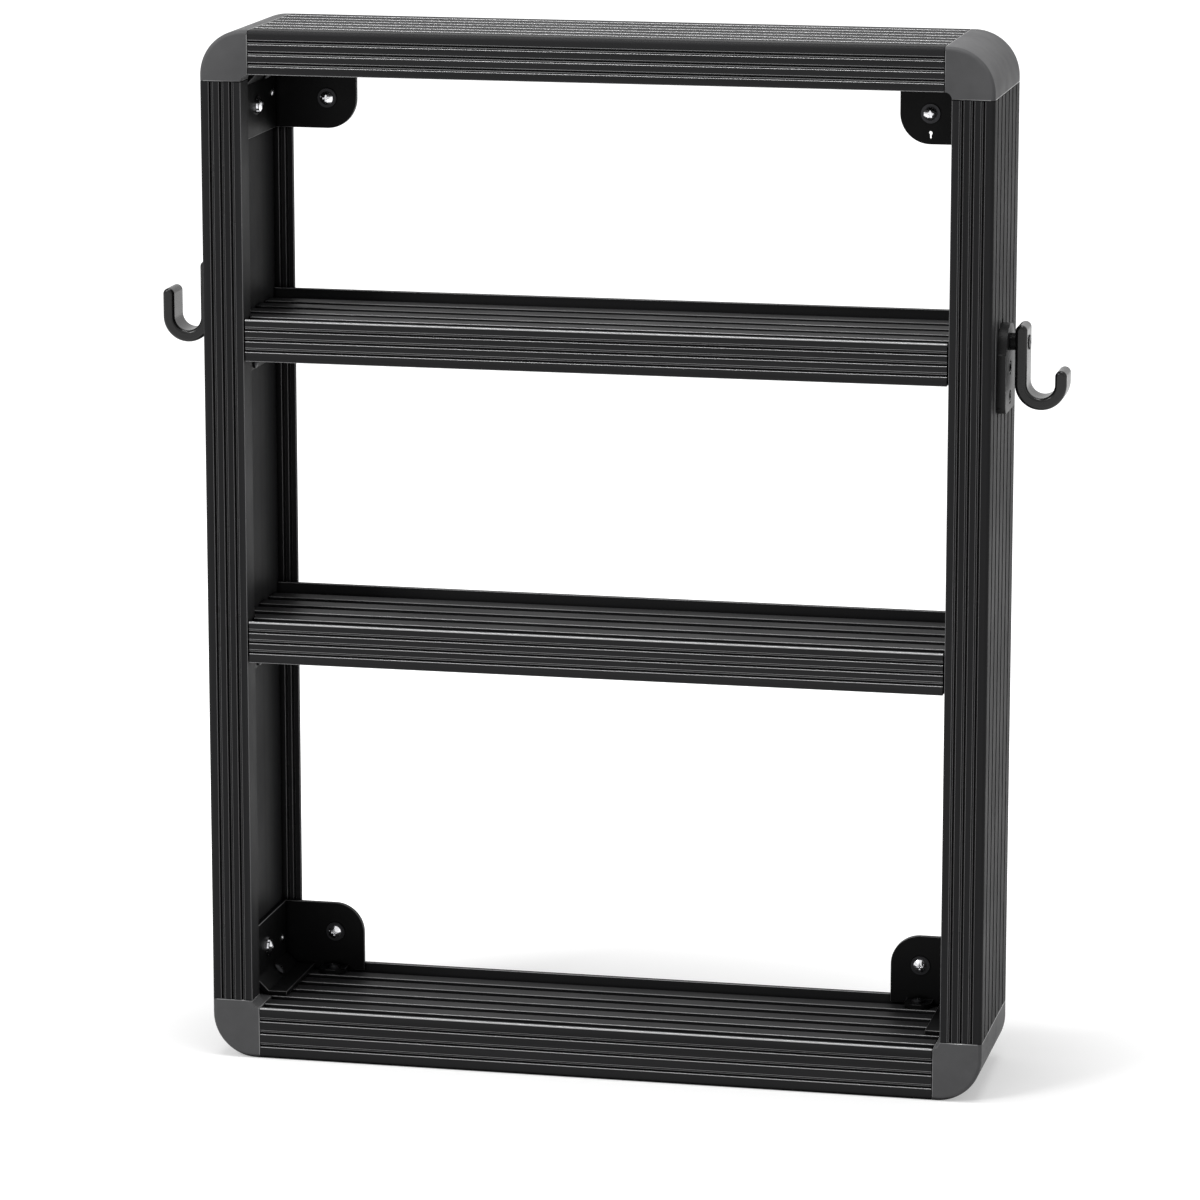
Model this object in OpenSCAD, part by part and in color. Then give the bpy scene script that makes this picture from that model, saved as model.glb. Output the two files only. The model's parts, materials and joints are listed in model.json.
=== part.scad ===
// Open wall rack: four ribbed extrusions joined by rounded corner blocks, two fixed
// ribbed shelves, four folded wall brackets and two swivelling side hooks.
// Origin: middle of the underside, half way between the front and back faces.
// +X is the viewer's right from the front, +Y runs back to the wall, +Z is up.

/* [Frame] */
// Overall width over the stiles
frame_w = 490; // [380:1:700]
// Overall height
frame_h = 650; // [560:1:900]
// Overall depth, front face to wall
frame_d = 105; // [95:1:160]
// Width of a stile's front face
stile_w = 26; // [24:0.5:34]
// Height of the top rail's front face
top_rail_h = 27; // [25:0.5:36]
// Height of the bottom rail's front face
bottom_rail_h = 33; // [26:0.5:40]
// Outer radius of the corner blocks
corner_r = 28; // [22:0.5:29]
// How far a corner block, and a rear lip, reach past the inner faces
corner_reach = 4.5; // [4:0.5:8]
// Rounding of the long front and back edges
edge_r = 2.6; // [1:0.1:3]
// Open joint line between a corner block and an extrusion
seam_gap = 0.35; // [0.1:0.05:0.6]
// Length of the keys that slide into the extrusions
key_len = 28; // [20:1:34]

/* [Extrusions] */
// Wall inside the ribs
wall = 2; // [1.6:0.1:2.4]
// Depth of the front part of a stile, in front of its channel
front_bar_d = 17; // [14:0.5:22]
// How far a stile's inner channel is sunk
channel_depth = 8; // [5:0.5:9]
// Thickness of the rear lips
lip_t = 3; // [2.5:0.1:4]
// Ribs on each front face
front_ribs = 4; // [3:1:5]
// Ribs on the outer faces of the frame
outer_ribs = 7; // [5:1:8]
// Depth of the front and outer grooves
groove_d = 1.5; // [0.8:0.1:1.8]
// Width of the deep part of a front groove
groove_w = 1.3; // [0.8:0.1:1.6]
// Width of the shallow step beside a front groove
step_w = 1.1; // [0.6:0.1:1.4]
// Depth of that step
step_d = 0.5; // [0.3:0.1:0.8]
// Width of a groove in the outer faces
outer_groove_w = 5.4; // [3:0.2:7]
// Depth of the grooves in the top of the shelves and the bottom rail
tread_groove_d = 2.8; // [1:0.1:3.5]

/* [Shelves] */
// Height of the upper shelf's top above the base
upper_shelf_z = 472; // [420:1:500]
// Height of the lower shelf's top above the base
lower_shelf_z = 282; // [230:1:320]
// Height of a shelf's front face
shelf_h = 26; // [22:0.5:32]
// Upstand at the back of a shelf
shelf_lip_h = 5; // [3:0.5:8]
// Broad ribs on top of a shelf
shelf_treads = 4; // [3:1:5]
// Broad ribs on top of the bottom rail
rail_treads = 5; // [3:1:6]
// Width of a shelf's broad rib
shelf_tread_w = 12.4; // [8:0.2:14]
// Width of the bottom rail's broad rib
rail_tread_w = 10.8; // [7:0.2:12]
// Gap all round a shelf where it enters the stiles
shelf_gap = 0.3; // [0.1:0.05:0.6]
// Dark joint line between a shelf's front face and the stiles
shelf_front_gap = 1.0; // [0.3:0.1:2]
// Leg of the cleat under each shelf end
cleat_leg = 18; // [16:1:24]
// Leg of the cleat on the stile
cleat_drop = 12; // [11:0.5:24]
// Length of a cleat, front to back
cleat_len = 56; // [44:1:64]
// Thickness of a cleat
cleat_t = 2.5; // [2:0.1:4]

/* [Wall brackets] */
// Reach of a rear plate past the stile's inner face
plate_reach = 47; // [36:1:60]
// Height of a rear plate past the rail's inner face
plate_h = 44; // [38:1:60]
// Sheet thickness of a wall bracket
bracket_t = 3; // [2:0.1:4]
// Depth of the side flange, the sloping web and the rail flange
flange_d = 72; // [60:1:75]
// Leg of the sloping web across the inner corner
web_leg = 9; // [7:0.5:12]
// Reach of the rail flange from the channel floor
rail_flange_w = 22; // [18:0.5:30]
// Rounding of a rear plate's free corner
plate_r = 19; // [14:0.5:22]
// Distance of the wall screw from the rear plate's free edges
wall_screw_in = 19; // [15:0.5:22]
// Distance of the side flange's screw in front of the rear plate
side_screw_in = 44; // [30:0.5:48]
// Distance of the web's screw in front of the rear plate
web_screw_in = 32; // [20:0.5:44]
// Distance of the rivet in front of the rear plate
rivet_in = 9; // [6:0.5:16]
// Width of the tab at the foot of the rear plate
tab_w = 17; // [14:0.5:22]
// Depth of that tab
tab_d = 14; // [12:0.5:18]
// How far a wall screw stands out behind the rack
wall_screw_out = 25; // [15:1:45]

/* [Fasteners] */
// Thread radius of every M4 screw
screw_r = 2; // [1.9:0.05:2.1]
// Head radius of a pan-head screw
head_r = 4.1; // [3.6:0.1:4.6]
// Head height of a pan-head screw
head_h = 2.6; // [2:0.1:3]
// Radius of a wall screw's washer
washer_r = 6; // [5:0.1:7]
// Thickness of a wall screw's washer
washer_t = 1; // [0.6:0.1:1.4]
// Radius of a wall screw's plain neck
neck_r = 1.7; // [1.4:0.05:1.85]
// Shank radius of a rivet
rivet_r = 1.6; // [1.2:0.1:2]
// Radial clearance of a screw in its hole
screw_fit = 0.15; // [0.05:0.05:0.4]

/* [Side hooks] */
// Height of the right hook's pivot
right_hook_z = 468; // [380:1:520]
// Height of the left hook's pivot
left_hook_z = 488; // [380:1:520]
// How far the right hook sits in front of the middle of the stile
right_hook_forward = 10; // [-10:1:10]
// How far the left hook sits behind the middle of the stile
left_hook_back = 10; // [-10:1:10]
// Pivot to the bottom of the hook's bend
hook_drop = 40; // [36:1:60]
// Pivot to the top of the shank
hook_rise = 11.5; // [9:0.5:14]
// Thickness of the hook's bar across the bend
bar_t = 7.3; // [6:0.1:9]
// Depth of the hook's bar, front to back
bar_d = 22; // [15:0.5:24]
// Rounding of the bar's long edges
bar_r = 2.2; // [1:0.1:2.8]
// Radius of the bend's middle line
bend_r = 12.2; // [9:0.1:16]
// Straight length of the right hook's tip
right_tip = 5; // [1:0.5:18]
// Straight length of the left hook's tip
left_tip = 14; // [1:0.5:18]
// Thickness of a hook plate
hook_plate_t = 5.5; // [4:0.1:7]
// Width of a hook plate, front to back
hook_plate_w = 38; // [32:0.5:44]
// Height of a hook plate above the pivot
hook_plate_up = 11; // [8:0.5:16]
// Height of a hook plate below the pivot
hook_plate_down = 42; // [36:0.5:60]
// Radius of the collar between plate and hook
collar_r = 5.3; // [4.5:0.1:7]
// Length of that collar
collar_len = 3.2; // [2:0.1:6]
// Radius of the journal that the hook turns on
journal_r = 3; // [2.5:0.1:3.5]
// Radial running clearance of the hook on its journal
running_fit = 0.06; // [0.02:0.01:0.1]
// Thickness of the thrust washer
thrust_t = 0.6; // [0.4:0.1:1]
// End clearance on each side of the hook
end_play = 0.1; // [0.05:0.05:0.2]

/* [Hidden] */
$fn = 96;
eps = 0.01;

// Measures called u run inwards from a stile's outer face, v back from the front face
half_w = frame_w / 2;
half_d = frame_d / 2;
floor_u = stile_w - channel_depth;
block_w = stile_w + corner_reach;
face_wall = wall + groove_d;
tread_wall = wall + tread_groove_d;
back_v = frame_d - lip_t;
shelf_back_v = back_v - shelf_gap;
function rail_h(top) = top ? top_rail_h : bottom_rail_h;
function block_h(top) = rail_h(top) + corner_reach;
// Clearance of a key in its cell
key_fit = 0.15;

// Screws: reach past the piece they hold, hole radius and hole depth in a stile or rail
bite = 8;
hole_r = screw_r + screw_fit;
hole_depth = bite + 1;
// Radial clearance of a sunk head in its seat
seat_fit = 0.3;
// Places of the screws
plate_front_v = back_v - bracket_t;
rail_screw_u = stile_w + plate_reach - wall_screw_in;
rail_screw_v = plate_front_v - tab_d / 2;
side_screw_v = plate_front_v - side_screw_in;
web_screw_v = plate_front_v - web_screw_in;
rivet_v = plate_front_v - rivet_in;
function side_screw_z(top) = rail_h(top) + plate_h - wall_screw_in;
rivet_drop = 4;
function rivet_z(top) = side_screw_z(top) - rivet_drop;
// Sloping web: inner fold, middle of its inner side and reach of its screw past the sheet
web_fold = web_leg + bracket_t * tan(22.5);
web_mid = (web_leg + bracket_t * sqrt(2)) / 2;
web_bite = 11;
// Gap between the rear lip's front face and the start of a wall screw's thread
thread_gap = 0.6;
// Rivet head
rivet_head_r = 2.7;
rivet_head_h = 1.3;
// Cleats sit behind the front bar, each with a screw near either end
cleat_v = front_bar_d + (back_v - front_bar_d - cleat_len) / 2;
cleat_screw_in = 12;
cleat_screws_v = [cleat_v + cleat_screw_in, cleat_v + cleat_len - cleat_screw_in];
cleat_screw_drop = (cleat_drop + cleat_t) / 2;
// Keyhole slot in the marked bracket
mark_w = 2.4;
mark_h = 7;

// Distances from the stile's outer face to the near side, middle and far side of a shank
shank_near = hook_plate_t + collar_len + thrust_t + 2 * end_play;
shank_mid = shank_near + bar_t / 2;
shank_far = shank_near + bar_t;
// Screw that closes a hook's pin, and its sunk seat in the hook
cap_r = 1.5;
cap_head_r = 4.4;
cap_head_h = 1.6;
cap_seat_d = 1;
cap_len = 6;
// Hook plate: corner rounding, screw drops below the pivot and sunk heads
plate_top_r = 17;
plate_low_r = 4;
plate_screw_low = hook_plate_down - 8;
plate_screw_high = plate_screw_low - 18;
plate_sink = 2;

// Cells of a stile, as [near, front, far, back] in its section
mid_v = (front_bar_d + frame_d - lip_t) / 2;
stile_cells = [
    [face_wall, face_wall, stile_w - wall, front_bar_d - wall],
    [face_wall, front_bar_d, floor_u - wall, mid_v - wall / 2],
    [face_wall, mid_v + wall / 2, floor_u - wall, frame_d - lip_t]
];

// Grooves in the front face of a stile's rear lip
lip_groove_w = 1.4;
lip_groove_d = 0.8;
lip_ribs = 3;

// Cells of a rail or shelf of height h, as [front, low, back, high] in its section
function bar_cells(h, depth, top_wall) =
    let (span = (depth - face_wall - lip_t - 2 * wall) / 3)
    [for (i = [0:2])
        let (v = face_wall + i * (span + wall))
        [v, face_wall, v + span, h - top_wall]];

// ---------- section helpers ----------

// Removes a square corner at the origin and leaves radius r
module corner_cut(r) {
    difference() {
        translate([-1, -1]) square(r + 1);
        translate([r, r]) circle(r);
    }
}

// Stepped grooves between count ribs on a face that runs along +x, cut towards +y
module front_grooves(length, count) {
    pitch = length / count;
    for (i = [1:count - 1]) {
        translate([i * pitch - groove_w / 2, -1]) square([groove_w, groove_d + 1]);
        translate([i * pitch + groove_w / 2 - eps, -1]) square([step_w + eps, step_d + 1]);
    }
}

// Plain grooves between count ribs on an outer face that runs along +x
module outer_grooves(length, count) {
    pitch = length / count;
    for (i = [1:count - 1]) {
        translate([i * pitch - outer_groove_w / 2, -1])
            square([outer_groove_w, groove_d + 1]);
    }
}

// Wide grooves between the front edge, count broad ribs and the rear lip
module tread_grooves(length, count, tread_w) {
    gap = (length - 2 * lip_t - count * tread_w) / (count + 1);
    for (i = [0:count]) {
        translate([lip_t + i * (tread_w + gap), -1]) square([gap, tread_groove_d + 1]);
    }
}

// Turns a drawing along +x with its face at y = 0 into one that runs up the x = 0 face
module up_the_side() rotate(90) mirror([0, 1]) children();

module cell_squares(cells, inset) {
    for (c = cells) {
        translate([c[0] + inset, c[1] + inset])
            square([c[2] - c[0] - 2 * inset, c[3] - c[1] - 2 * inset]);
    }
}

// ---------- extrusion sections ----------

// Stile, seen from above: x from the outer face inwards, y from the front backwards
module stile_section() {
    difference() {
        union() {
            square([stile_w, front_bar_d]);
            square([floor_u, frame_d]);
            translate([0, back_v]) square([block_w, lip_t]);
        }
        cell_squares(stile_cells, 0);
        front_grooves(stile_w, front_ribs);
        up_the_side() outer_grooves(frame_d, outer_ribs);
        for (i = [1:lip_ribs - 1]) {
            translate([floor_u + i * (block_w - floor_u) / lip_ribs, back_v])
                square([lip_groove_w, 2 * lip_groove_d], center = true);
        }
        corner_cut(edge_r);
        translate([0, frame_d]) mirror([0, 1]) corner_cut(edge_r);
    }
}

// Rail, seen from its end: x from the front backwards, y from the outer face inwards
module rail_section(h, treads) {
    difference() {
        union() {
            square([frame_d, h]);
            translate([back_v, 0]) square([lip_t, h + corner_reach]);
        }
        cell_squares(bar_cells(h, frame_d, tread_wall), 0);
        up_the_side() front_grooves(h, front_ribs);
        outer_grooves(frame_d, outer_ribs);
        translate([0, h]) mirror([0, 1]) tread_grooves(frame_d, treads, rail_tread_w);
        corner_cut(edge_r);
        translate([frame_d, 0]) mirror([1, 0]) corner_cut(edge_r);
    }
}

// Shelf, seen from its end: x from the front backwards, y up from the underside
module shelf_section() {
    difference() {
        union() {
            square([shelf_back_v, shelf_h]);
            translate([shelf_back_v - lip_t, 0]) square([lip_t, shelf_h + shelf_lip_h]);
        }
        cell_squares(bar_cells(shelf_h, shelf_back_v, tread_wall), 0);
        up_the_side() front_grooves(shelf_h, front_ribs);
        translate([0, shelf_h]) mirror([0, 1])
            tread_grooves(shelf_back_v, shelf_treads, shelf_tread_w);
    }
}

// ---------- placing helpers ----------

// From section x, y and height z measured at the left front corner of the frame
module at_left_front() translate([-half_w, -half_d, 0]) children();

// Draws the left-hand piece on the chosen side: -1 left, 1 right
module on_side(side) mirror([side > 0 ? 1 : 0, 0, 0]) children();

// Lays a section drawn as [depth, height] along +x for a given length
module along_x(length) rotate([90, 0, 90]) linear_extrude(length) children();

// Measures heights down from the top instead of up from the base
module from_top(top) translate([0, 0, top ? frame_h : 0]) mirror([0, 0, top ? 1 : 0]) children();

// ---------- fasteners ----------

// Cross-slotted pan head on the z = 0 plane
module pan_head() {
    slot_w = 1;
    slot_l = 4.2;
    slot_d = 1.3;
    difference() {
        intersection() {
            cylinder(h = head_h, r = head_r);
            translate([0, 0, head_h - head_r * 1.6]) sphere(head_r * 1.6);
        }
        translate([-slot_l / 2, -slot_w / 2, head_h - slot_d]) cube([slot_l, slot_w, slot_d + 1]);
        translate([-slot_w / 2, -slot_l / 2, head_h - slot_d]) cube([slot_w, slot_l, slot_d + 1]);
    }
}

// Pan-head screw whose shank points to -z
module pan_screw(length) {
    pan_head();
    translate([0, 0, -length]) cylinder(h = length + eps, r = screw_r);
}

// Pan-head screw with a plain neck under its head
module necked_screw(neck, length) {
    pan_head();
    translate([0, 0, -neck - eps]) cylinder(h = neck + 2 * eps, r = neck_r);
    translate([0, 0, -length]) cylinder(h = length - neck, r = screw_r);
}

// Hole along +-x through a stile's channel floor and on into its key
module floor_hole(v, z, r, depth) {
    translate([floor_u, v, z]) rotate([0, 90, 0]) cylinder(h = 2 * depth, r = r, center = true);
}

// Puts its children on a web screw's axis, on the web's inner side, with +z out of the corner
module at_web_screw(top) {
    translate([floor_u + web_mid, web_screw_v, rail_h(top) + web_mid]) rotate([0, 45, 0])
        children();
}

// ---------- stiles and rails ----------

module stile_screw_holes() {
    // Wall brackets
    for (top = [false, true]) {
        from_top(top) floor_hole(side_screw_v, side_screw_z(top), hole_r, hole_depth);
        from_top(top) floor_hole(rivet_v, rivet_z(top), rivet_r + screw_fit, wall + 1);
    }
    // Shelf cleats
    for (z = [upper_shelf_z, lower_shelf_z], v = cleat_screws_v) {
        floor_hole(v, z - shelf_h - cleat_screw_drop, hole_r, hole_depth);
    }
}

// Places a pattern of hook plate screw axes on a stile's outer face
module at_plate_screws(hook_y, hook_z) {
    for (drop = [plate_screw_low, plate_screw_high]) {
        translate([0, half_d + hook_y, hook_z - drop]) rotate([0, -90, 0]) children();
    }
}

module stile(side, hook_y, hook_z) {
    on_side(side) at_left_front() difference() {
        translate([0, 0, block_h(false) + seam_gap])
            linear_extrude(frame_h - block_h(false) - block_h(true) - 2 * seam_gap)
            stile_section();
        stile_screw_holes();
        at_plate_screws(hook_y, hook_z)
            cylinder(h = 2 * hole_depth, r = hole_r, center = true);
    }
}

module left_stile() color("dimgray") stile(-1, left_hook_back, left_hook_z);

module right_stile() color("dimgray") stile(1, -right_hook_forward, right_hook_z);

module rail(top) {
    length = frame_w - 2 * block_w - 2 * seam_gap;
    difference() {
        from_top(top) translate([-length / 2, -half_d, 0]) along_x(length)
            rail_section(rail_h(top), rail_treads);
        for (side = [-1, 1]) {
            from_top(top) on_side(side) at_left_front()
                translate([rail_screw_u, rail_screw_v, rail_h(top)])
                cylinder(h = 2 * hole_depth, r = hole_r, center = true);
        }
    }
}

module top_rail() color("dimgray") rail(true);

module bottom_rail() color("dimgray") rail(false);

// ---------- corner blocks ----------

// Outline of a block from the front, with its corner at the origin
module block_outline(h) {
    difference() {
        square([block_w, h]);
        corner_cut(corner_r);
    }
}

// Quarter ring and two straight lengths that round the block's long edge at y = 0
module block_edge_cut(h) {
    translate([corner_r, 0, corner_r]) rotate([90, 0, 0]) rotate([0, 0, 180])
        rotate_extrude(angle = 90) translate([corner_r, 0]) mirror([1, 0]) mirror([0, 1])
        corner_cut(edge_r);
    translate([0, 0, corner_r]) linear_extrude(h) corner_cut(edge_r);
    translate([corner_r, 0, 0]) along_x(block_w) corner_cut(edge_r);
}

// Bottom left block; the keys slide into the extrusions
module corner_block(top) {
    h = block_h(top);
    difference() {
        union() {
            // Front part
            block_slice(0, front_bar_d, h) difference() {
                block_outline(h);
                translate([block_w, h]) circle(corner_reach);
            }
            // Part behind it, sunk to the channel floor
            block_slice(front_bar_d - eps, back_v + eps, h) difference() {
                block_outline(h);
                translate([floor_u, rail_h(top)]) difference() {
                    square([block_w, corner_reach + 1]);
                    difference() {
                        translate([-1, -1]) square(corner_reach + 1);
                        translate([corner_reach, corner_reach]) circle(corner_reach);
                    }
                }
            }
            // Rear lip
            block_slice(back_v, frame_d, h) block_outline(h);
            // Keys into the stile
            translate([0, 0, h - eps]) linear_extrude(key_len + eps)
                cell_squares(stile_cells, key_fit);
            // Keys into the rail
            translate([block_w - eps, 0, 0]) along_x(key_len + eps)
                cell_squares(bar_cells(rail_h(top), frame_d, tread_wall), key_fit);
        }
        block_edge_cut(h);
        translate([0, frame_d, 0]) mirror([0, 1, 0]) block_edge_cut(h);
        // Holes for the bracket's side, rail and web screws
        floor_hole(side_screw_v, side_screw_z(top), hole_r, hole_depth);
        translate([rail_screw_u, rail_screw_v, rail_h(top)])
            cylinder(h = 2 * hole_depth, r = hole_r, center = true);
        at_web_screw(top) translate([0, 0, -bracket_t - web_bite - 1])
            cylinder(h = web_bite + bracket_t + 1, r = hole_r);
    }
}

// Draws an outline from the front as a slice between two depths
module block_slice(front, back, h) {
    translate([0, back, 0]) rotate([90, 0, 0]) linear_extrude(back - front) children();
}

module corner(side, top) {
    color("slategray") on_side(side) from_top(top) at_left_front() corner_block(top);
}

module corner_top_left() corner(-1, true);

module corner_top_right() corner(1, true);

module corner_bottom_left() corner(-1, false);

module corner_bottom_right() corner(1, false);

// Screws through the sloping webs into the corner blocks
module corner_screws() {
    color("black") for (side = [-1, 1], top = [false, true]) {
        on_side(side) from_top(top) at_left_front() at_web_screw(top)
            pan_screw(bracket_t + web_bite);
    }
}

// ---------- shelves ----------

module shelf(z) {
    inner = frame_w - 2 * floor_u - 2 * shelf_gap;
    notch = channel_depth + shelf_front_gap - shelf_gap;
    difference() {
        translate([-inner / 2, -half_d, z - shelf_h]) along_x(inner) shelf_section();
        for (side = [-1, 1]) {
            on_side(side) translate([-inner / 2 - 1, -half_d - 1, z - shelf_h - 1])
                cube([notch + 1, front_bar_d + shelf_gap + 1, shelf_h + shelf_lip_h + 2]);
            for (v = cleat_screws_v) {
                on_side(side) at_left_front()
                    translate([floor_u + cleat_t + cleat_leg / 2, v, z - shelf_h])
                    cylinder(h = 2 * hole_depth, r = hole_r, center = true);
            }
        }
    }
}

module upper_shelf() color("gray") shelf(upper_shelf_z);

module lower_shelf() color("gray") shelf(lower_shelf_z);

// Angle on the channel floor that carries a shelf end
module cleat(side, z) {
    on_side(side) at_left_front() translate([floor_u, cleat_v, z - shelf_h]) difference() {
        union() {
            translate([0, 0, -cleat_drop]) cube([cleat_t, cleat_len, cleat_drop]);
            translate([0, 0, -cleat_t]) cube([cleat_t + cleat_leg, cleat_len, cleat_t]);
        }
        for (v = cleat_screws_v) {
            translate([0, v - cleat_v, -cleat_screw_drop]) rotate([0, 90, 0])
                cylinder(h = 3 * cleat_t, r = hole_r, center = true);
            translate([cleat_t + cleat_leg / 2, v - cleat_v, 0])
                cylinder(h = 3 * cleat_t, r = hole_r, center = true);
        }
    }
}

module upper_shelf_cleat_left() color("darkslategray") cleat(-1, upper_shelf_z);

module upper_shelf_cleat_right() color("darkslategray") cleat(1, upper_shelf_z);

module lower_shelf_cleat_left() color("darkslategray") cleat(-1, lower_shelf_z);

module lower_shelf_cleat_right() color("darkslategray") cleat(1, lower_shelf_z);

// Two screws into each stile and two up into the shelf at each end
module shelf_screws(z) {
    for (side = [-1, 1], v = cleat_screws_v) {
        on_side(side) at_left_front() {
            translate([floor_u + cleat_t, v, z - shelf_h - cleat_screw_drop])
                rotate([0, 90, 0]) pan_screw(bite + cleat_t - 1);
            translate([floor_u + cleat_t + cleat_leg / 2, v, z - shelf_h - cleat_t])
                rotate([180, 0, 0]) pan_screw(bite + cleat_t - 1);
        }
    }
}

module upper_shelf_screws() color("black") shelf_screws(upper_shelf_z);

module lower_shelf_screws() color("black") shelf_screws(lower_shelf_z);

// ---------- wall brackets ----------

// Rear plate from the front, with its inner corner cut off and its free corner rounded
module plate_outline(w) {
    difference() {
        square([w, plate_h]);
        translate([w, plate_h]) rotate(180) corner_cut(plate_r);
        polygon([[-1, -1], [web_leg + 1, -1], [-1, web_leg + 1]]);
    }
}

// Side flange, sloping web and rail flange in one section
module flange_outline() {
    polygon([
        [0, plate_h], [0, web_leg], [web_leg, 0], [rail_flange_w, 0],
        [rail_flange_w, bracket_t], [web_fold, bracket_t],
        [bracket_t, web_fold], [bracket_t, plate_h]
    ]);
}

// Bottom left bracket, folded from one sheet
module bracket_body(top, marked) {
    plate_w = channel_depth + plate_reach;
    screw_u = plate_w - wall_screw_in;
    difference() {
        translate([floor_u, back_v, rail_h(top)]) {
            rotate([90, 0, 0]) linear_extrude(bracket_t) plate_outline(plate_w);
            rotate([90, 0, 0]) linear_extrude(flange_d) flange_outline();
            // Tab at the foot of the rear plate
            translate([screw_u, -bracket_t, 0]) linear_extrude(bracket_t) difference() {
                translate([-tab_w / 2, -tab_d]) square([tab_w, tab_d + eps]);
                for (s = [0, 1]) {
                    mirror([s, 0]) translate([-tab_w / 2, -tab_d]) corner_cut(tab_w / 3);
                }
            }
        }
        translate([floor_u + screw_u, back_v, side_screw_z(top)]) rotate([90, 0, 0])
            cylinder(h = 3 * bracket_t, r = hole_r, center = true);
        floor_hole(side_screw_v, side_screw_z(top), hole_r, 2 * bracket_t);
        floor_hole(rivet_v, rivet_z(top), rivet_r + screw_fit, 2 * bracket_t);
        translate([rail_screw_u, rail_screw_v, rail_h(top)])
            cylinder(h = 3 * bracket_t, r = hole_r, center = true);
        at_web_screw(top) cylinder(h = 3 * bracket_t, r = hole_r, center = true);
        if (marked) {
            translate([floor_u + screw_u, back_v, rail_h(top) + plate_h - mark_h])
                rotate([90, 0, 0]) mark_slot();
        }
    }
}

// Short keyhole slot near a rear plate's free edge
module mark_slot() {
    linear_extrude(3 * bracket_t, center = true) {
        circle(mark_w / 2);
        translate([-mark_w / 4, 0]) square([mark_w / 2, mark_h / 2]);
    }
}

module bracket(side, top, marked) {
    color("#161616") on_side(side) from_top(top) at_left_front() bracket_body(top, marked);
}

module bracket_top_left() bracket(-1, true, false);

module bracket_top_right() bracket(1, true, true);

module bracket_bottom_left() bracket(-1, false, false);

module bracket_bottom_right() bracket(1, false, false);

// Puts its children on every wall screw's axis, with +z pointing out of the wall
module at_wall_screws() {
    for (side = [-1, 1], top = [false, true]) {
        on_side(side) from_top(top) at_left_front()
            translate([rail_screw_u, plate_front_v, side_screw_z(top)])
            rotate([90, 0, 0]) children();
    }
}

// Flat washer on the z = 0 plane
module washer() {
    difference() {
        cylinder(h = washer_t, r = washer_r);
        translate([0, 0, -1]) cylinder(h = washer_t + 2, r = hole_r);
    }
}

module wall_washers() color("black") at_wall_screws() washer();

module wall_screws() {
    neck = washer_t + bracket_t + thread_gap;
    color("silver") at_wall_screws() translate([0, 0, washer_t])
        necked_screw(neck, washer_t + bracket_t + lip_t + wall_screw_out);
}

// Puts its children on a flange's inner side, with +z pointing away from the stile
module at_side_flanges(v, drop) {
    for (side = [-1, 1], top = [false, true]) {
        on_side(side) from_top(top) at_left_front()
            translate([floor_u + bracket_t, v, side_screw_z(top) - drop])
            rotate([0, 90, 0]) children();
    }
}

module bracket_side_washers() color("silver") at_side_flanges(side_screw_v, 0) washer();

module bracket_side_screws() {
    color("silver") at_side_flanges(side_screw_v, 0) translate([0, 0, washer_t])
        pan_screw(bite + bracket_t + washer_t - 1);
}

module bracket_rivets() {
    shank = bracket_t + wall - key_fit;
    color("silver") at_side_flanges(rivet_v, rivet_drop) {
        translate([0, 0, -shank]) cylinder(h = shank + eps, r = rivet_r);
        intersection() {
            cylinder(h = rivet_head_h, r = rivet_head_r);
            translate([0, 0, rivet_head_h - rivet_head_r * 1.4]) sphere(rivet_head_r * 1.4);
        }
    }
}

module bracket_rail_screws() {
    color("black") for (side = [-1, 1], top = [false, true]) {
        on_side(side) from_top(top) at_left_front()
            translate([rail_screw_u, rail_screw_v, rail_h(top) + bracket_t])
            pan_screw(bite + bracket_t - 1);
    }
}

// ---------- side hooks ----------

// Puts its children at the left or right pivot, with +x pointing away from the stile
module at_left_pivot() translate([-half_w, left_hook_back, left_hook_z]) on_side(1) children();

module at_right_pivot() translate([half_w, -right_hook_forward, right_hook_z]) children();

// Section of the hook's bar, centred
module bar_section() {
    difference() {
        square([bar_t, bar_d], center = true);
        for (sx = [0, 1], sy = [0, 1]) {
            mirror([sx, 0]) mirror([0, sy]) translate([-bar_t / 2, -bar_d / 2])
                corner_cut(bar_r);
        }
    }
}

// Rounded end of the bar, centred on the bar's middle line
module bar_end() {
    rotate([90, 0, 0]) rotate_extrude() intersection() {
        bar_section();
        translate([0, -bar_d / 2]) square([bar_t, bar_d]);
    }
}

// J-shaped hook with its pivot at the origin, opening towards +x
module hook_shape(tip) {
    bend_z = bar_t / 2 + bend_r - hook_drop;
    top_z = hook_rise - bar_t / 2;
    difference() {
        union() {
            translate([shank_mid, 0, bend_z]) linear_extrude(top_z - bend_z) bar_section();
            translate([shank_mid, 0, top_z]) bar_end();
            translate([shank_mid + bend_r, 0, bend_z]) rotate([90, 0, 0]) rotate([0, 0, 180])
                rotate_extrude(angle = 180) translate([bend_r, 0]) bar_section();
            translate([shank_mid + 2 * bend_r, 0, bend_z]) linear_extrude(tip) bar_section();
            translate([shank_mid + 2 * bend_r, 0, bend_z + tip]) bar_end();
        }
        translate([shank_near - 1, 0, 0]) rotate([0, 90, 0])
            cylinder(h = bar_t + 2, r = journal_r + running_fit);
        translate([shank_far - cap_seat_d, 0, 0]) rotate([0, 90, 0])
            cylinder(h = cap_seat_d + 1, r = cap_head_r + seat_fit);
    }
}

module hook_left() color("#202020") at_left_pivot() hook_shape(left_tip);

module hook_right() color("#202020") at_right_pivot() hook_shape(right_tip);

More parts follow.
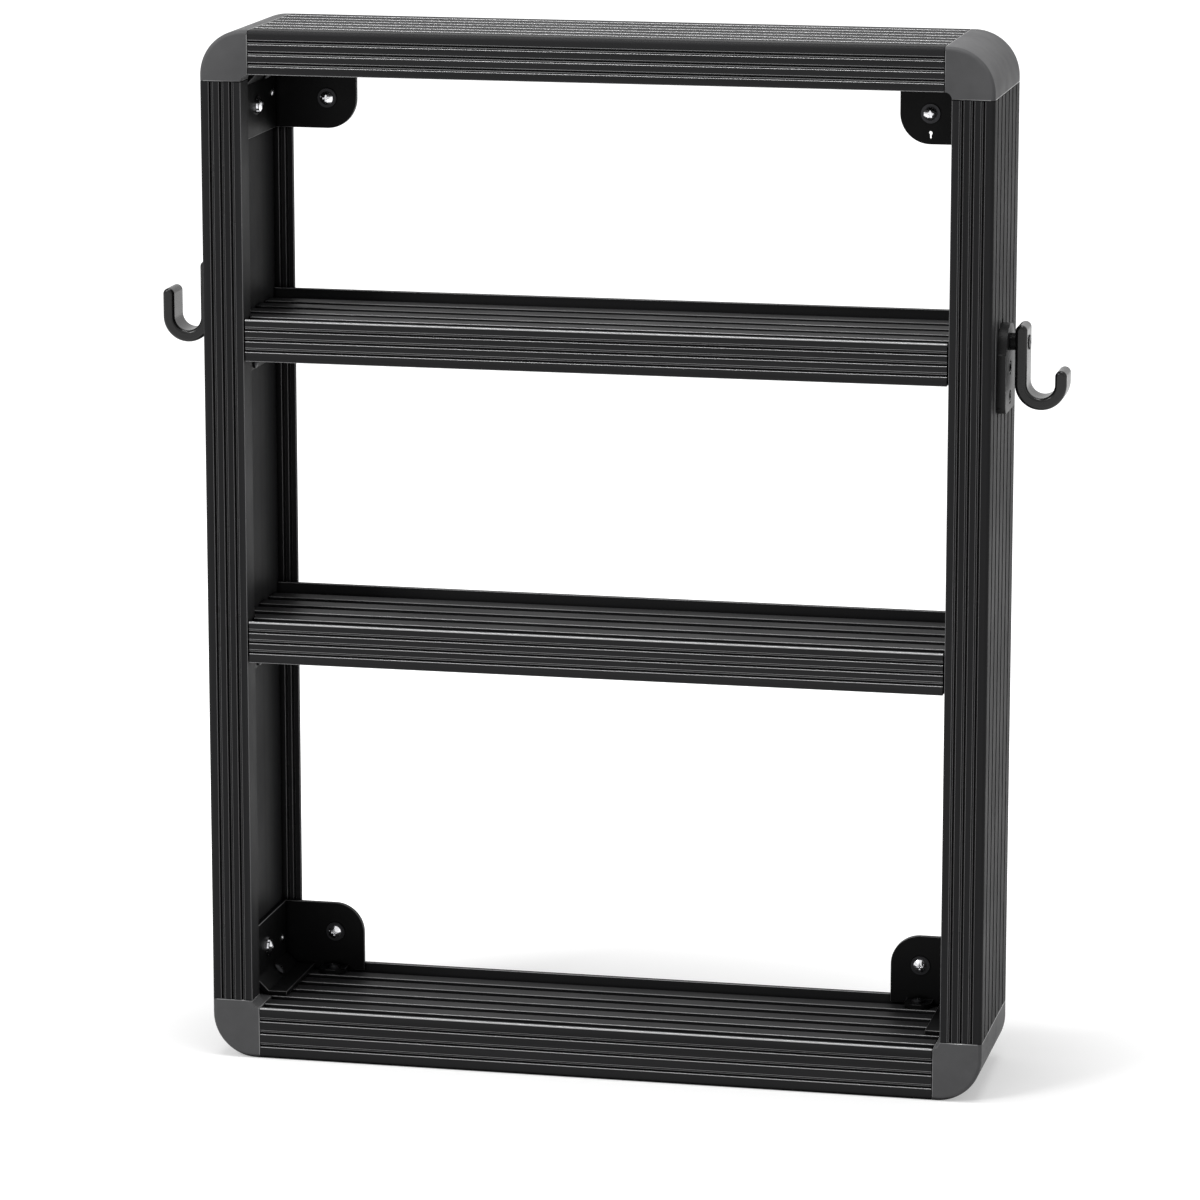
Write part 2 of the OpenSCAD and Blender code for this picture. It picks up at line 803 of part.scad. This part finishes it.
// Round-topped plate on the stile's outer ribs
module hook_plate_shape() {
    r = hook_plate_w / 2;
    difference() {
        rotate([90, 0, 90]) linear_extrude(hook_plate_t) difference() {
            translate([-r, -hook_plate_down]) square([hook_plate_w, hook_plate_down + hook_plate_up]);
            for (s = [0, 1]) {
                mirror([s, 0]) translate([-r, hook_plate_up]) mirror([0, 1])
                    corner_cut(plate_top_r);
                mirror([s, 0]) translate([-r, -hook_plate_down]) corner_cut(plate_low_r);
            }
        }
        translate([-1, 0, 0]) rotate([0, 90, 0])
            cylinder(h = hook_plate_t + 2, r = journal_r + screw_fit);
        for (drop = [plate_screw_low, plate_screw_high]) {
            translate([-1, 0, -drop]) rotate([0, 90, 0])
                cylinder(h = hook_plate_t + 2, r = hole_r);
            translate([hook_plate_t - plate_sink, 0, -drop]) rotate([0, 90, 0])
                cylinder(h = plate_sink + 1, r = head_r + seat_fit);
        }
    }
}

module hook_plate_left() color("#1a1a1a") at_left_pivot() hook_plate_shape();

module hook_plate_right() color("#1a1a1a") at_right_pivot() hook_plate_shape();

// Shoulder pin: tail in the plate, collar, then the journal
module hook_pin_shape() {
    difference() {
        union() {
            rotate([0, 90, 0]) cylinder(h = shank_far - cap_seat_d + end_play, r = journal_r);
            translate([hook_plate_t, 0, 0]) rotate([0, 90, 0])
                cylinder(h = collar_len, r = collar_r);
        }
        translate([shank_far - cap_seat_d - cap_len, 0, 0]) rotate([0, 90, 0])
            cylinder(h = cap_len + 2, r = cap_r + screw_fit);
    }
}

module hook_pin_left() color("black") at_left_pivot() hook_pin_shape();

module hook_pin_right() color("black") at_right_pivot() hook_pin_shape();

module thrust_washer_shape() {
    translate([hook_plate_t + collar_len + end_play, 0, 0]) rotate([0, 90, 0]) difference() {
        cylinder(h = thrust_t, r = collar_r - 0.3);
        translate([0, 0, -1]) cylinder(h = thrust_t + 2, r = journal_r + running_fit);
    }
}

module thrust_washer_left() color("gray") at_left_pivot() thrust_washer_shape();

module thrust_washer_right() color("gray") at_right_pivot() thrust_washer_shape();

// Low-head screw that keeps the hook on its journal
module cap_screw_shape() {
    translate([shank_far - cap_seat_d + end_play, 0, 0]) rotate([0, 90, 0]) difference() {
        union() {
            cylinder(h = cap_head_h, r = cap_head_r);
            translate([0, 0, 1 - cap_len]) cylinder(h = cap_len, r = cap_r);
        }
        translate([0, 0, cap_head_h / 2]) cylinder(h = cap_head_h, r = cap_r, $fn = 6);
    }
}

module hook_cap_screw_left() color("#303030") at_left_pivot() cap_screw_shape();

module hook_cap_screw_right() color("#303030") at_right_pivot() cap_screw_shape();

module plate_screws_shape() {
    for (drop = [plate_screw_low, plate_screw_high]) {
        translate([hook_plate_t - plate_sink, 0, -drop]) rotate([0, 90, 0])
            pan_screw(bite + hook_plate_t - plate_sink - 1);
    }
}

module hook_plate_screws_left() color("#303030") at_left_pivot() plate_screws_shape();

module hook_plate_screws_right() color("#303030") at_right_pivot() plate_screws_shape();

top_rail();
bottom_rail();
left_stile();
right_stile();
corner_top_left();
corner_top_right();
corner_bottom_left();
corner_bottom_right();
upper_shelf();
lower_shelf();
upper_shelf_cleat_left();
upper_shelf_cleat_right();
lower_shelf_cleat_left();
lower_shelf_cleat_right();
bracket_top_left();
bracket_top_right();
bracket_bottom_left();
bracket_bottom_right();
wall_screws();
wall_washers();
bracket_side_screws();
bracket_side_washers();
bracket_rail_screws();
bracket_rivets();
corner_screws();
upper_shelf_screws();
lower_shelf_screws();
hook_left();
hook_right();
hook_plate_left();
hook_plate_right();
hook_pin_left();
hook_pin_right();
thrust_washer_left();
thrust_washer_right();
hook_cap_screw_left();
hook_cap_screw_right();
hook_plate_screws_left();
hook_plate_screws_right();
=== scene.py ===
import json
import math

import bmesh
import bpy
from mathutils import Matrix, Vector

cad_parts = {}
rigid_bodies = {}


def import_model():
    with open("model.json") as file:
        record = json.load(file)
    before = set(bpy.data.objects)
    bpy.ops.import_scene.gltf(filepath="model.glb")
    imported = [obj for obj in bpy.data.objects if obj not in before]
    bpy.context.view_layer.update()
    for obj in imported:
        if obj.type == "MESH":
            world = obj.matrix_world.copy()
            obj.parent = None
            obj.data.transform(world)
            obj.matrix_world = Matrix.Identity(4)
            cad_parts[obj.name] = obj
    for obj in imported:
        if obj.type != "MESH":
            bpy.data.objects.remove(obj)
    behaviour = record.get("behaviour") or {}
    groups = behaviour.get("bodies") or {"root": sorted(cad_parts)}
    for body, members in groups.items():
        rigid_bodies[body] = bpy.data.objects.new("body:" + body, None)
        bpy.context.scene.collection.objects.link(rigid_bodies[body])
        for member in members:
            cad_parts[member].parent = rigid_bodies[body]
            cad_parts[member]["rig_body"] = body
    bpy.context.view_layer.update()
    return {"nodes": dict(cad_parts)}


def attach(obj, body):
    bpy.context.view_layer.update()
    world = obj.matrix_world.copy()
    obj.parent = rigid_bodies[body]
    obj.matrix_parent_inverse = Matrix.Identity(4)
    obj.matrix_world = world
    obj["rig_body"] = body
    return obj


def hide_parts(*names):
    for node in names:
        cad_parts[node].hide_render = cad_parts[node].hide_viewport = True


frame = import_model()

MM = 0.001

# ---------------------------------------------------------------- camera
CAMERA_AZIMUTH = 12.3
CAMERA_ELEVATION = 11.9
CAMERA_DISTANCE = 3.469
CAMERA_LENS = 167.2
SENSOR_WIDTH = 36.0
CAMERA_TARGET = Vector((-0.006, 0.0, 0.2946))
CLIP_START, CLIP_END = 0.1, 60.0


def make_camera():
    """Long lens from the front right, a little above the rack."""
    azimuth = math.radians(CAMERA_AZIMUTH)
    elevation = math.radians(CAMERA_ELEVATION)
    back = Vector((
        math.sin(azimuth) * math.cos(elevation),
        -math.cos(azimuth) * math.cos(elevation),
        math.sin(elevation),
    ))
    data = bpy.data.cameras.new("camera")
    data.lens = CAMERA_LENS
    data.sensor_width = SENSOR_WIDTH
    data.clip_start, data.clip_end = CLIP_START, CLIP_END
    camera = bpy.data.objects.new("camera", data)
    bpy.context.scene.collection.objects.link(camera)
    camera.location = CAMERA_TARGET + back * CAMERA_DISTANCE
    camera.rotation_mode = "QUATERNION"
    camera.rotation_quaternion = (-back).to_track_quat("-Z", "Y")
    bpy.context.scene.camera = camera


# ---------------------------------------------------------------- materials
THREAD_PITCH = 0.7 * MM
THREAD_START = 50.0 * MM
THREAD_DEPTH = 0.3 * MM
# Painted shade in grooves and corners: how far the occlusion looks, how dark it gets, and
# its samples
HOLLOW_REACH = 5.0 * MM
HOLLOW_SHADE_DARKEST = 0.08
HOLLOW_SAMPLES = 6
# Share of open sky that counts as deep in a hollow, and as out of it
HOLLOW_DEEP, HOLLOW_OPEN = 0.35, 0.85
# Most of a noise texture's values lie between these
NOISE_LOW, NOISE_HIGH = 0.3, 0.7
# Length over which a wave texture of scale 1 repeats, in metres
WAVE_REPEAT = math.tau / 20.0
# Sockets of a mix node when it mixes colours
MIX_FIRST, MIX_SECOND, MIX_RESULT = 6, 7, 2

# Noise scales, per metre
DIE_LINES = 900.0
DIE_STREAKS = 120.0
BLOTCHES = 14.0
ETCHING = 2600.0
COAT_PEBBLES = 1500.0
COAT_PATCHES = 45.0
COAT_TONE = 30.0
TURNING_MARKS = 900.0
PLATING_PATCHES = 260.0
MOULD_SPARKS = 1800.0
MOULD_TONE = 60.0

# Depths of the bumps that those scales draw
DIE_LINE_DEPTH = 0.03 * MM
ETCHING_DEPTH = 0.01 * MM
TURNING_DEPTH = 0.01 * MM
SPARK_DEPTH = 0.02 * MM


# Stretch of a texture per axis: long lines, or marks packed closer
ALONG_X = (0.004, 1.0, 1.0)
ALONG_Z = (1.0, 1.0, 0.004)
ACROSS_Y = (1.0, 6.0, 1.0)


class Shader:
    """A material under construction: a Principled surface and the nodes that feed it."""

    def __init__(self, name, color, roughness, metallic=0.0, specular=0.5):
        self.material = bpy.data.materials.new(name)
        self.material.use_nodes = True
        self.tree = self.material.node_tree
        self.surface = self.tree.nodes["Principled BSDF"]
        self.color = color
        self.surface.inputs["Base Color"].default_value = (*color, 1.0)
        self.surface.inputs["Roughness"].default_value = roughness
        self.surface.inputs["Metallic"].default_value = metallic
        self.surface.inputs["Specular IOR Level"].default_value = specular
        self.coords = self.tree.nodes.new("ShaderNodeTexCoord").outputs["Object"]

    def link(self, source, target):
        self.tree.links.new(source, target)

    def noise(self, scale, stretch=(1.0, 1.0, 1.0), detail=4.0, roughness=0.55):
        """Noise of a given scale per metre, stretched by a factor per axis."""
        mapping = self.tree.nodes.new("ShaderNodeMapping")
        mapping.inputs["Scale"].default_value = stretch
        self.link(self.coords, mapping.inputs["Vector"])
        node = self.tree.nodes.new("ShaderNodeTexNoise")
        node.inputs["Scale"].default_value = scale
        node.inputs["Detail"].default_value = detail
        node.inputs["Roughness"].default_value = roughness
        self.link(mapping.outputs["Vector"], node.inputs["Vector"])
        return node.outputs["Fac"]

    def remap(self, value, low, high, start=NOISE_LOW, stop=NOISE_HIGH):
        """Value from start..stop, spread over low..high."""
        node = self.tree.nodes.new("ShaderNodeMapRange")
        node.inputs["From Min"].default_value = start
        node.inputs["From Max"].default_value = stop
        node.inputs["To Min"].default_value = low
        node.inputs["To Max"].default_value = high
        self.link(value, node.inputs["Value"])
        return node.outputs["Result"]

    def mix_colors(self, factor, first, second):
        """first where factor is 0, second where it is 1; each a colour or a socket."""
        node = self.tree.nodes.new("ShaderNodeMix")
        node.data_type = "RGBA"
        self.link(factor, node.inputs["Factor"])
        for value, index in ((first, MIX_FIRST), (second, MIX_SECOND)):
            socket = node.inputs[index]
            if isinstance(value, tuple):
                socket.default_value = (*value, 1.0)
            else:
                self.link(value, socket)
        return node.outputs[MIX_RESULT]

    def vary_color(self, factor, low, high):
        """Base colour between low and high times its own value."""
        first = tuple(c * low for c in self.color)
        second = tuple(c * high for c in self.color)
        result = self.mix_colors(factor, first, second)
        self.link(result, self.surface.inputs["Base Color"])
        return result

    def paint_shade_in_hollows(self, reach, floor):
        """Painted shade: colour and reflection fall off, down to floor, deep in grooves
        and corners.
        """
        painted_shade = self.tree.nodes.new("ShaderNodeAmbientOcclusion")
        painted_shade.samples = HOLLOW_SAMPLES
        painted_shade.inputs["Distance"].default_value = reach
        factor = self.remap(painted_shade.outputs["AO"], floor, 1.0, HOLLOW_DEEP, HOLLOW_OPEN)
        link = self.surface.inputs["Base Color"].links[0]
        result = self.mix_colors(factor, (0.0, 0.0, 0.0), link.from_socket)
        self.link(result, self.surface.inputs["Base Color"])
        specular = self.tree.nodes.new("ShaderNodeMath")
        specular.operation = "MULTIPLY"
        level = self.surface.inputs["Specular IOR Level"]
        specular.inputs[1].default_value = level.default_value
        self.link(factor, specular.inputs[0])
        self.link(specular.outputs[0], level)

    def thread(self, start):
        """Ridges across Y, one pitch apart, on what lies behind the depth start."""
        wave = self.tree.nodes.new("ShaderNodeTexWave")
        wave.bands_direction = "Y"
        wave.inputs["Scale"].default_value = WAVE_REPEAT / THREAD_PITCH
        self.link(self.coords, wave.inputs["Vector"])
        place = self.tree.nodes.new("ShaderNodeSeparateXYZ")
        self.link(self.coords, place.inputs["Vector"])
        behind = self.tree.nodes.new("ShaderNodeMath")
        behind.operation = "GREATER_THAN"
        behind.inputs[1].default_value = start
        self.link(place.outputs["Y"], behind.inputs[0])
        height = self.tree.nodes.new("ShaderNodeMath")
        height.operation = "MULTIPLY"
        self.link(wave.outputs["Fac"], height.inputs[0])
        self.link(behind.outputs[0], height.inputs[1])
        return height.outputs[0]

    def bump(self, height, distance, strength=1.0, under=None):
        """Bump of a depth in metres; under is a bump that it lies on."""
        node = self.tree.nodes.new("ShaderNodeBump")
        node.inputs["Strength"].default_value = strength
        node.inputs["Distance"].default_value = distance
        self.link(height, node.inputs["Height"])
        if under is not None:
            self.link(under, node.inputs["Normal"])
        self.link(node.outputs["Normal"], self.surface.inputs["Normal"])
        return node.outputs["Normal"]


def anodised(name, stretch, color, specular, roughness):
    """Satin black anodised extrusion with die lines along its length and painted shade in
    its grooves.
    """
    shader = Shader(name, color, roughness, specular=specular)
    lines = shader.noise(DIE_LINES, stretch, detail=3.0)
    streaks = shader.noise(DIE_STREAKS, stretch, detail=2.0)
    blotches = shader.noise(BLOTCHES)
    shader.vary_color(shader.remap(streaks, 0.0, 1.0), 0.8, 1.2)
    # painted shade: colour and reflection darkened in grooves and corners
    shader.paint_shade_in_hollows(HOLLOW_REACH, HOLLOW_SHADE_DARKEST)
    shader.link(
        shader.remap(blotches, roughness - 0.06, roughness + 0.06),
        shader.surface.inputs["Roughness"],
    )
    fine = shader.bump(lines, DIE_LINE_DEPTH, 0.5)
    shader.bump(shader.noise(ETCHING, detail=2.0), ETCHING_DEPTH, 0.35, under=fine)
    return shader.material


def powder_coat(name, color, roughness, grain, specular):
    """Powder coat: a fine pebbled skin, with painted shade in the corners."""
    shader = Shader(name, color, roughness, specular=specular)
    shader.vary_color(shader.remap(shader.noise(COAT_TONE), 0.0, 1.0), 0.85, 1.15)
    # painted shade: colour and reflection darkened in corners
    shader.paint_shade_in_hollows(HOLLOW_REACH, HOLLOW_SHADE_DARKEST)
    pebbles = shader.noise(COAT_PEBBLES, detail=3.0, roughness=0.6)
    patches = shader.noise(COAT_PATCHES)
    shader.link(
        shader.remap(patches, roughness - 0.05, roughness + 0.06),
        shader.surface.inputs["Roughness"],
    )
    shader.bump(pebbles, grain, 0.5)
    return shader.material


def plated(name, color, roughness, thread_from=None):
    """Bright plating with faint turning marks, and a thread behind a given depth."""
    shader = Shader(name, color, roughness, metallic=1.0)
    marks = shader.noise(TURNING_MARKS, ACROSS_Y, detail=3.0)
    shader.vary_color(shader.remap(marks, 0.0, 1.0), 0.88, 1.06)
    shader.link(
        shader.remap(shader.noise(PLATING_PATCHES), roughness - 0.06, roughness + 0.08),
        shader.surface.inputs["Roughness"],
    )
    turned = shader.bump(marks, TURNING_DEPTH, 0.3)
    if thread_from is not None:
        shader.bump(shader.thread(thread_from), THREAD_DEPTH, under=turned)
    return shader.material


def moulded(name, color, roughness):
    """Moulded plastic with a spark-eroded texture."""
    shader = Shader(name, color, roughness)
    shader.vary_color(shader.remap(shader.noise(MOULD_TONE), 0.0, 1.0), 0.9, 1.1)
    shader.bump(shader.noise(MOULD_SPARKS), SPARK_DEPTH, 0.4)
    return shader.material


EXTRUSION = (0.017, 0.017, 0.0177)
# Paler edge colours: painted highlights on the rounded edges
RAIL_EDGE_HIGHLIGHT = (0.26, 0.26, 0.265)
STILE_EDGE_HIGHLIGHT = (0.09, 0.09, 0.092)
ZINC = (0.78, 0.78, 0.8)
ZINC_EDGE_HIGHLIGHT = (0.9, 0.9, 0.92)

# Each entry: the material of the faces, and a paler, glossier copy on their rounded edges
# as a painted highlight
MATERIALS = {
    "rail": (
        anodised("anodised_along_rails", ALONG_X, EXTRUSION, 0.07, 0.5),
        anodised("painted_highlight_along_rails", ALONG_X, RAIL_EDGE_HIGHLIGHT, 1.0, 0.2),
    ),
    "stile": (
        anodised("anodised_along_stiles", ALONG_Z, EXTRUSION, 0.05, 0.52),
        anodised("painted_highlight_along_stiles", ALONG_Z, STILE_EDGE_HIGHLIGHT, 0.5, 0.3),
    ),
    "casting": (
        powder_coat("corner_powder_coat", (0.078, 0.078, 0.08), 0.5, 0.03 * MM, 0.12),
        powder_coat("corner_painted_highlight", (0.14, 0.14, 0.142), 0.3, 0.03 * MM, 1.0),
    ),
    "bracket": (
        powder_coat("bracket_powder_coat", (0.004, 0.004, 0.0042), 0.4, 0.015 * MM, 0.08),
        powder_coat("bracket_painted_highlight", (0.04, 0.04, 0.041), 0.3, 0.015 * MM, 0.6),
    ),
    "hook": (
        powder_coat("hook_powder_coat", (0.006, 0.006, 0.0063), 0.24, 0.008 * MM, 0.3),
        powder_coat("hook_painted_highlight", (0.05, 0.05, 0.051), 0.2, 0.008 * MM, 0.8),
    ),
    "fitting": (
        powder_coat("fitting_powder_coat", (0.008, 0.008, 0.0083), 0.42, 0.02 * MM, 0.3),
        powder_coat("fitting_painted_highlight", (0.05, 0.05, 0.051), 0.36, 0.02 * MM, 0.6),
    ),
    "zinc": (
        plated("bright_zinc", ZINC, 0.14),
        plated("bright_zinc_painted_highlight", ZINC_EDGE_HIGHLIGHT, 0.12),
    ),
    "zinc_thread": (
        plated("bright_zinc_thread", ZINC, 0.14, THREAD_START),
        plated("bright_zinc_thread_painted_highlight", ZINC_EDGE_HIGHLIGHT, 0.12),
    ),
    "black_oxide": (
        plated("black_oxide", (0.03, 0.03, 0.032), 0.38),
        plated("black_oxide_painted_highlight", (0.16, 0.16, 0.165), 0.3),
    ),
    "nylon": (
        moulded("black_nylon", (0.02, 0.02, 0.02), 0.5),
        moulded("black_nylon_painted_highlight", (0.04, 0.04, 0.04), 0.45),
    ),
}

# ---------------------------------------------------------------- pieces
SHARP_ANGLE = math.radians(28.0)
FLAT_ANGLE = math.radians(0.5)
MERGE_DISTANCE = 0.002 * MM
LONG_EDGE = 1.0 * MM
PARALLEL = 0.999
RIB_WEIGHT = 0.4
BEVEL_SEGMENTS = 2
FACE_AREA_WEIGHT = 100
LENGTH_AXIS = {"rail": 0, "stile": 2}
TREAD_NODES = ("bottom_rail", "upper_shelf", "lower_shelf")


def front_plane(node):
    """Y of the foremost face of a CAD node."""
    return min(vertex.co.y for vertex in frame["nodes"][node].data.vertices)


def tread_top(node):
    """Height of a tread: the highest point of its node's front face."""
    limit = front_plane(node) + MERGE_DISTANCE
    vertices = frame["nodes"][node].data.vertices
    return max(vertex.co.z for vertex in vertices if vertex.co.y < limit)


FRONT_Y = front_plane("bottom_rail")
TREAD_TOPS = [tread_top(node) for node in TREAD_NODES]


def edge_weight(edge, along):
    """How strongly a sharp edge is rounded, from 0 to 1."""
    if not edge.is_convex or edge.calc_length() < LONG_EDGE:
        return 0.0
    if along is None:
        return 1.0
    first, second = (vert.co for vert in edge.verts)
    if abs((second - first).normalized()[along]) < PARALLEL:
        return 0.0
    at_front = max(first.y, second.y) < FRONT_Y + MERGE_DISTANCE
    on_tread = any(abs(first.z - top) < MERGE_DISTANCE for top in TREAD_TOPS)
    return 1.0 if at_front and on_tread else RIB_WEIGHT


def rounded_copy(node, material, width, along):
    """The CAD node's shape with its sharp edges rounded and given a painted highlight;
    stands for the node.

    An extrusion is rounded only on the edges that run along its length.
    """
    source = frame["nodes"][node]
    mesh = source.data.copy()
    mesh.materials.clear()
    for surface in MATERIALS[material]:
        mesh.materials.append(surface)
    shape = bmesh.new()
    shape.from_mesh(mesh)
    bmesh.ops.remove_doubles(shape, verts=shape.verts, dist=MERGE_DISTANCE)
    bmesh.ops.dissolve_limit(
        shape, angle_limit=FLAT_ANGLE, verts=shape.verts, edges=shape.edges
    )
    for face in shape.faces:
        face.material_index = 0
        face.smooth = True
    rounded = shape.edges.layers.float.new("bevel_weight_edge")
    for edge in shape.edges:
        if edge.calc_face_angle(0.0) > SHARP_ANGLE:
            edge.smooth = False
            edge[rounded] = edge_weight(edge, along)
    shape.to_mesh(mesh)
    shape.free()
    piece = bpy.data.objects.new(f"{node}_finish", mesh)
    bpy.context.scene.collection.objects.link(piece)
    bevel = piece.modifiers.new("edges", "BEVEL")
    bevel.width = width
    bevel.segments = BEVEL_SEGMENTS
    bevel.limit_method = "WEIGHT"
    # The rounded edges take the second, paler material: a painted highlight
    bevel.material = 1
    bevel.miter_outer = "MITER_ARC"
    bevel.use_clamp_overlap = False
    normals = piece.modifiers.new("flat_faces", "WEIGHTED_NORMAL")
    normals.weight = FACE_AREA_WEIGHT
    normals.keep_sharp = True
    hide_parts(node)
    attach(piece, source["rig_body"])


ROUNDED = {
    "rail": (("top_rail", "bottom_rail", "upper_shelf", "lower_shelf"), 0.9 * MM),
    "stile": (("left_stile", "right_stile"), 0.9 * MM),
    "casting": (
        (
            "corner_top_left", "corner_top_right",
            "corner_bottom_left", "corner_bottom_right",
        ),
        0.5 * MM,
    ),
    "bracket": (
        (
            "bracket_top_left", "bracket_top_right",
            "bracket_bottom_left", "bracket_bottom_right",
            "upper_shelf_cleat_left", "upper_shelf_cleat_right",
            "lower_shelf_cleat_left", "lower_shelf_cleat_right",
        ),
        0.35 * MM,
    ),
    "hook": (("hook_left", "hook_right"), 0.4 * MM),
    "fitting": (
        ("hook_plate_left", "hook_plate_right", "hook_pin_left", "hook_pin_right"),
        0.35 * MM,
    ),
    "zinc": (
        ("bracket_side_screws", "bracket_side_washers", "bracket_rivets"),
        0.14 * MM,
    ),
    "zinc_thread": (("wall_screws",), 0.14 * MM),
    "black_oxide": (
        (
            "bracket_rail_screws", "corner_screws",
            "upper_shelf_screws", "lower_shelf_screws",
            "hook_plate_screws_left", "hook_plate_screws_right",
            "hook_cap_screw_left", "hook_cap_screw_right", "wall_washers",
        ),
        0.14 * MM,
    ),
    "nylon": (("thrust_washer_left", "thrust_washer_right"), 0.08 * MM),
}


def dress_nodes():
    """Every CAD node gets its finished copy."""
    for material, (nodes, width) in ROUNDED.items():
        for node in nodes:
            rounded_copy(node, material, width, LENGTH_AXIS.get(material))


# ---------------------------------------------------------------- studio
# Distances in metres; the glow is the strength at which the floor is seen, 1 being white
FLOOR_SIZE = 14.0
FLOOR_DIFFUSE = 0.62
# Weaker glow near the rack: painted shade on the floor around its base
GLOW_NEAR_SHADED = 0.38
GLOW_FAR = 1.0
GLOW_FROM = 0.2
GLOW_TO = 0.62
GLOW_CENTRE_Y = -0.08
AMBIENT = 0.42

LIGHT_TARGET = (0.0, 0.0, 0.33)
# Name, place, width and height in metres, power in watts
LIGHTS = (
    ("key", (-1.9, -2.2, 2.3), (0.9, 0.9), 52.0),
    ("fill", (2.4, -2.0, 1.2), (1.4, 1.8), 5.0),
    ("top", (0.0, -0.3, 2.4), (1.6, 0.6), 32.0),
)


def make_floor():
    """Pale floor that fades to white where it is seen, and still takes the shadow; a
    weaker glow near the rack paints shade around its base.
    """
    mesh = bpy.data.meshes.new("floor")
    half = FLOOR_SIZE / 2
    corners = [(-half, -half, 0), (half, -half, 0), (half, half, 0), (-half, half, 0)]
    mesh.from_pydata(corners, [], [(0, 1, 2, 3)])
    floor = bpy.data.objects.new("floor", mesh)
    bpy.context.scene.collection.objects.link(floor)
    material = bpy.data.materials.new("floor_white")
    material.use_nodes = True
    tree = material.node_tree
    tree.nodes.clear()
    diffuse = tree.nodes.new("ShaderNodeBsdfDiffuse")
    diffuse.inputs["Color"].default_value = (FLOOR_DIFFUSE,) * 3 + (1.0,)
    glow = tree.nodes.new("ShaderNodeEmission")
    total = tree.nodes.new("ShaderNodeAddShader")
    output = tree.nodes.new("ShaderNodeOutputMaterial")
    distance = tree.nodes.new("ShaderNodeVectorMath")
    distance.operation = "LENGTH"
    coords = tree.nodes.new("ShaderNodeTexCoord")
    centre = tree.nodes.new("ShaderNodeMapping")
    centre.inputs["Location"].default_value = (0.0, -GLOW_CENTRE_Y, 0.0)
    tree.links.new(coords.outputs["Object"], centre.inputs["Vector"])
    tree.links.new(centre.outputs["Vector"], distance.inputs[0])
    # Glow rises from the near value to white with distance: painted shade near the rack
    fade = tree.nodes.new("ShaderNodeMapRange")
    fade.interpolation_type = "SMOOTHSTEP"
    fade.inputs["From Min"].default_value = GLOW_FROM
    fade.inputs["From Max"].default_value = GLOW_TO
    fade.inputs["To Min"].default_value = GLOW_NEAR_SHADED
    fade.inputs["To Max"].default_value = GLOW_FAR
    tree.links.new(distance.outputs["Value"], fade.inputs["Value"])
    strength = tree.nodes.new("ShaderNodeMath")
    strength.operation = "MULTIPLY"
    tree.links.new(fade.outputs["Result"], strength.inputs[1])
    tree.links.new(seen_directly(tree), strength.inputs[0])
    tree.links.new(strength.outputs[0], glow.inputs["Strength"])
    tree.links.new(diffuse.outputs[0], total.inputs[0])
    tree.links.new(glow.outputs[0], total.inputs[1])
    tree.links.new(total.outputs[0], output.inputs["Surface"])
    mesh.materials.append(material)


def seen_directly(tree):
    """1 for camera, glossy and transmission rays, 0 for the rest."""
    path = tree.nodes.new("ShaderNodeLightPath")
    either = tree.nodes.new("ShaderNodeMath")
    either.operation = "ADD"
    tree.links.new(path.outputs["Is Camera Ray"], either.inputs[0])
    tree.links.new(path.outputs["Is Glossy Ray"], either.inputs[1])
    total = tree.nodes.new("ShaderNodeMath")
    total.operation = "ADD"
    total.use_clamp = True
    tree.links.new(either.outputs[0], total.inputs[0])
    tree.links.new(path.outputs["Is Transmission Ray"], total.inputs[1])
    return total.outputs[0]


def make_world():
    """White to the camera and in reflections, a dimmer grey as light."""
    world = bpy.data.worlds.new("studio")
    bpy.context.scene.world = world
    world.use_nodes = True
    tree = world.node_tree
    background = tree.nodes["Background"]
    background.inputs["Color"].default_value = (1.0, 1.0, 1.0, 1.0)
    strength = tree.nodes.new("ShaderNodeMapRange")
    strength.inputs["To Min"].default_value = AMBIENT
    strength.inputs["To Max"].default_value = 1.0
    tree.links.new(seen_directly(tree), strength.inputs["Value"])
    tree.links.new(strength.outputs["Result"], background.inputs["Strength"])


def area_light(name, place, size, power):
    """Soft rectangular lamp aimed at the middle of the rack."""
    data = bpy.data.lights.new(name, "AREA")
    data.shape = "RECTANGLE"
    data.size, data.size_y = size
    data.energy = power
    light = bpy.data.objects.new(name, data)
    bpy.context.scene.collection.objects.link(light)
    light.location = place
    aim = Vector(LIGHT_TARGET) - Vector(place)
    light.rotation_mode = "QUATERNION"
    light.rotation_quaternion = aim.to_track_quat("-Z", "Y")


def make_lights():
    for light in LIGHTS:
        area_light(*light)


make_camera()
dress_nodes()
make_floor()
make_world()
make_lights()

bpy.context.scene.view_settings.view_transform = "Standard"
